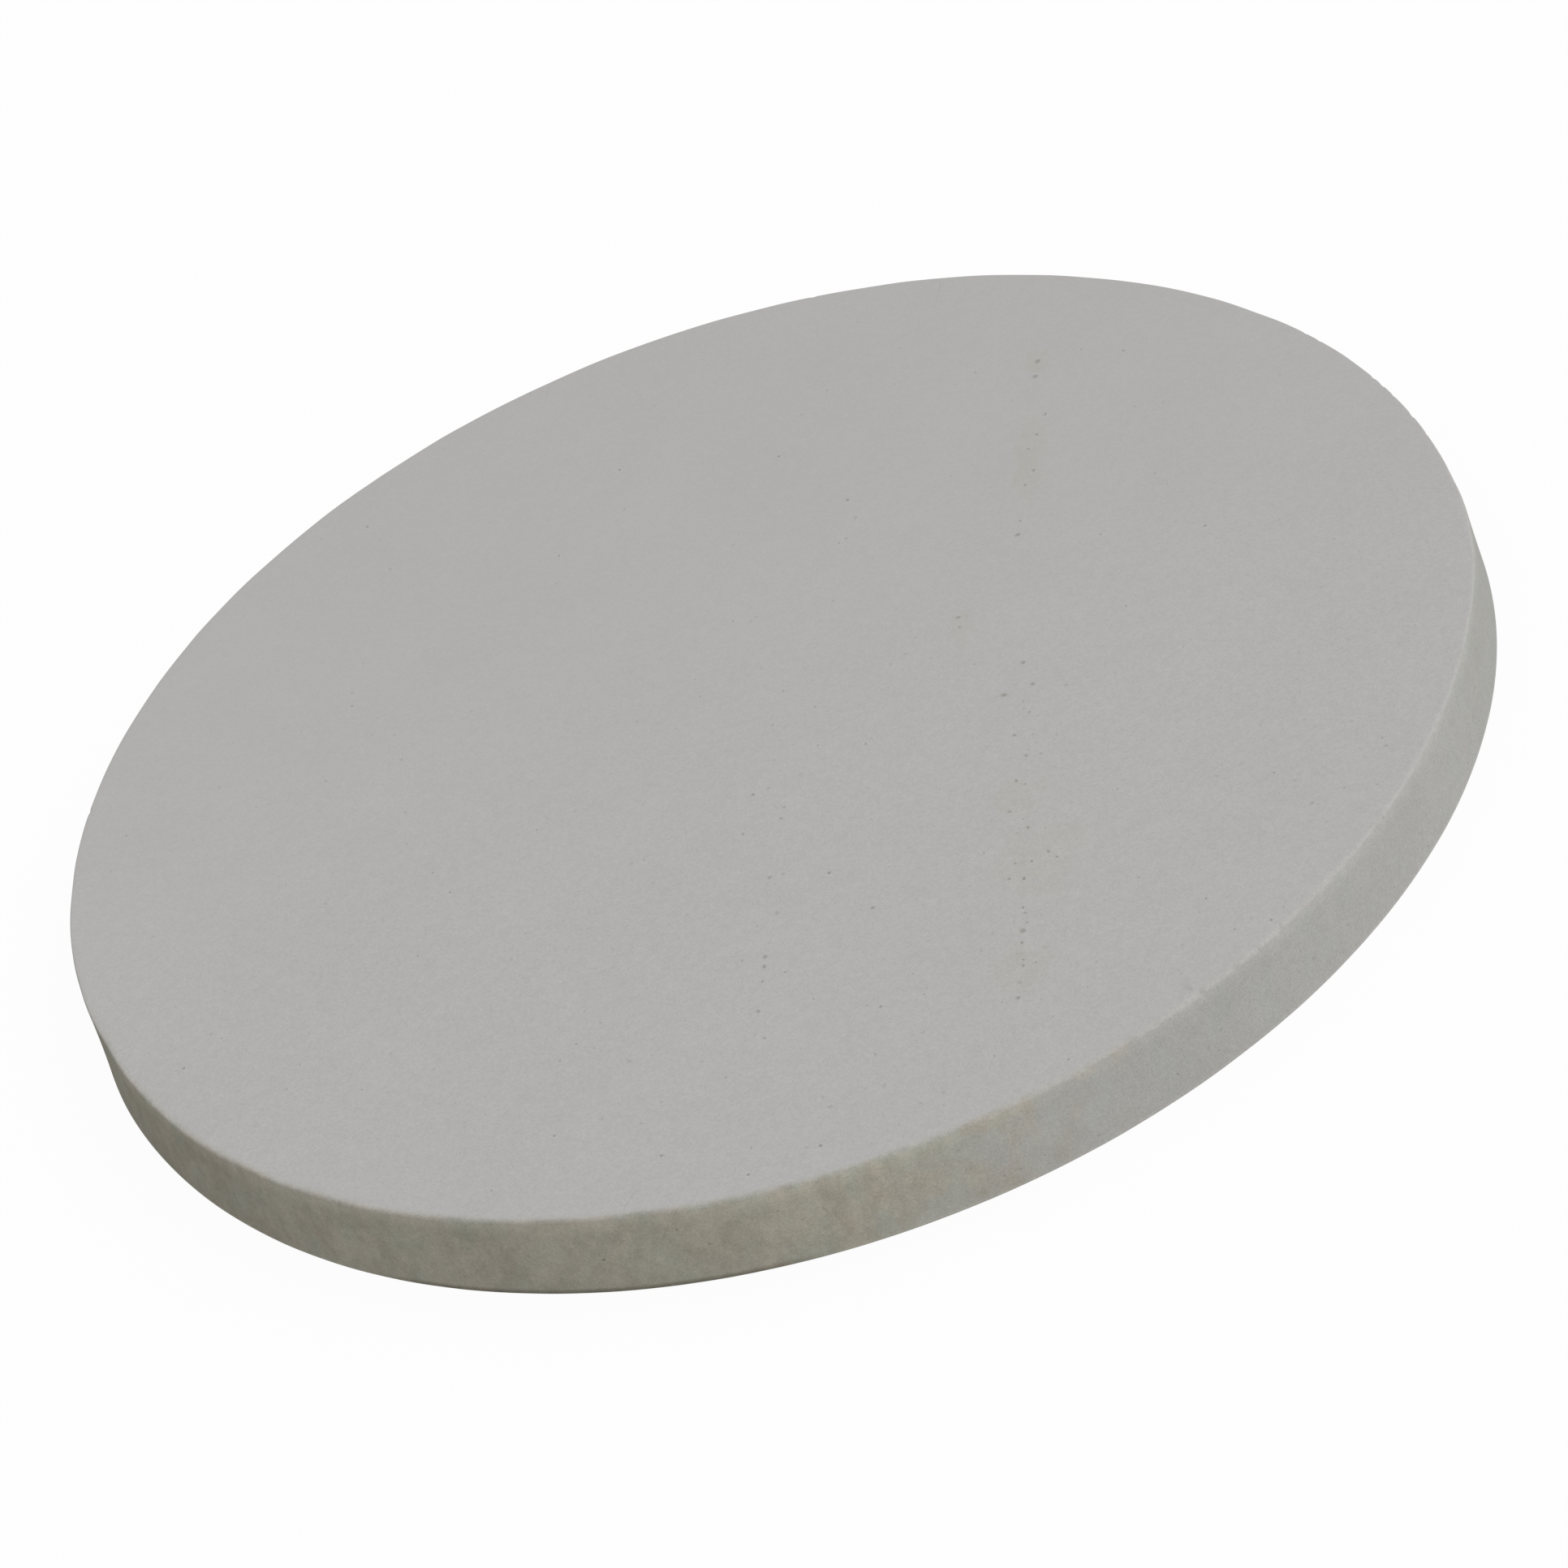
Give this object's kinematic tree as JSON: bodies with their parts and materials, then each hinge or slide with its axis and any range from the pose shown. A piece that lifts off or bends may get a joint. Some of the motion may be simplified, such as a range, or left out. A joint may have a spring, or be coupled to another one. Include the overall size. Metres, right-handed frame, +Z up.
{
  "type": "manhole cover",
  "caption": "Plain round precast concrete manhole cover, a flat slab with a slightly leaning wall, reinforced inside by a hand-tied steel mesh and an edge hoop.",
  "frame": {"origin": "middle of the underside, on the plane that rests on the frame's seat", "axes": "+Z up, from the underside to the walked-on face; the lower bars run along X and the upper bars along Y"},
  "size_m": [0.6998, 0.6998, 0.04],
  "materials": {
    "concrete": "matte",
    "bar_steel": "matte",
    "hoop_steel": "matte",
    "tie_wire": "satin"
  },
  "bodies": {
    "root": {"concrete_slab": "concrete", "lower_bar_1": "bar_steel", "lower_bar_2": "bar_steel", "lower_bar_3": "bar_steel", "lower_bar_4": "bar_steel", "lower_bar_5": "bar_steel", "lower_bar_6": "bar_steel", "lower_bar_7": "bar_steel", "lower_bar_8": "bar_steel", "lower_bar_9": "bar_steel", "lower_bar_10": "bar_steel", "upper_bar_1": "bar_steel", "upper_bar_2": "bar_steel", "upper_bar_3": "bar_steel", "upper_bar_4": "bar_steel", "upper_bar_5": "bar_steel", "upper_bar_6": "bar_steel", "upper_bar_7": "bar_steel", "upper_bar_8": "bar_steel", "upper_bar_9": "bar_steel", "upper_bar_10": "bar_steel", "edge_hoop": "hoop_steel", "mesh_ties": "tie_wire", "hoop_ties": "tie_wire"}
  },
  "joints": []
}
